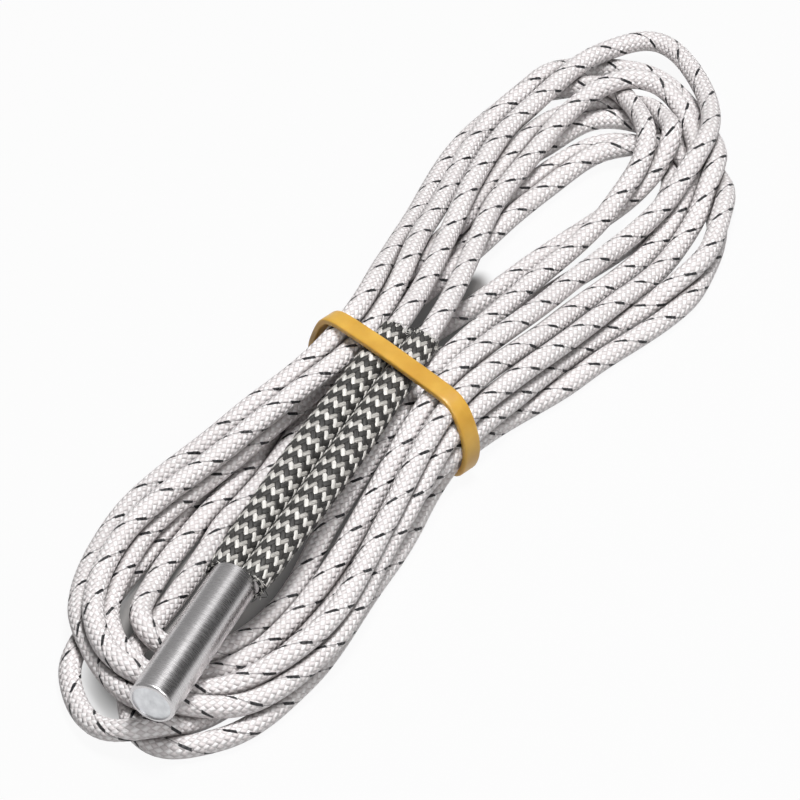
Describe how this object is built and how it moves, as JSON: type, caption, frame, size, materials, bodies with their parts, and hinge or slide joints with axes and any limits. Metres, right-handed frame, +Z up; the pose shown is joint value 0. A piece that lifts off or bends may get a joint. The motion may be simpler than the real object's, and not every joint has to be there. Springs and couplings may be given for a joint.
{
  "type": "cartridge heater",
  "caption": "Small round cartridge heater with a steel sheath, woven sleeves and two braided leads folded into a banded hank; heats a block it slides into.",
  "frame": {"origin": "on the sheath's axis, at its lead end", "axes": "+X along the sheath's axis towards its closed end, +Z up from the surface that the hank lies on"},
  "size_m": [0.1593, 0.0628, 0.0137],
  "materials": {
    "sheath_steel": "brushed",
    "end_steel": "satin",
    "ceramic": "matte",
    "magnesia": "matte",
    "cement": "matte",
    "heating_wire": "satin",
    "nickel": "satin",
    "sleeve_weave": "woven",
    "lead_braid": "braided",
    "tinned_wire": "satin",
    "band_rubber": "satin"
  },
  "bodies": {
    "root": {"sheath": "sheath_steel", "end_disc": "end_steel", "spacer_disc": "ceramic", "ceramic_core": "ceramic", "heating_coil": "heating_wire", "magnesia_fill": "magnesia", "core_bead": "ceramic", "pin_a": "nickel", "pin_b": "nickel", "splice_a": "nickel", "splice_b": "nickel", "cement_seal": "cement", "tail_a": "nickel", "tail_b": "nickel", "sleeve_a": "sleeve_weave", "sleeve_b": "sleeve_weave", "lead_a": "lead_braid", "lead_b": "lead_braid", "lead_hank": "lead_braid", "lead_end_a": "lead_braid", "lead_end_b": "lead_braid", "tip_a": "tinned_wire", "tip_b": "tinned_wire", "rubber_band": "band_rubber"}
  },
  "joints": []
}
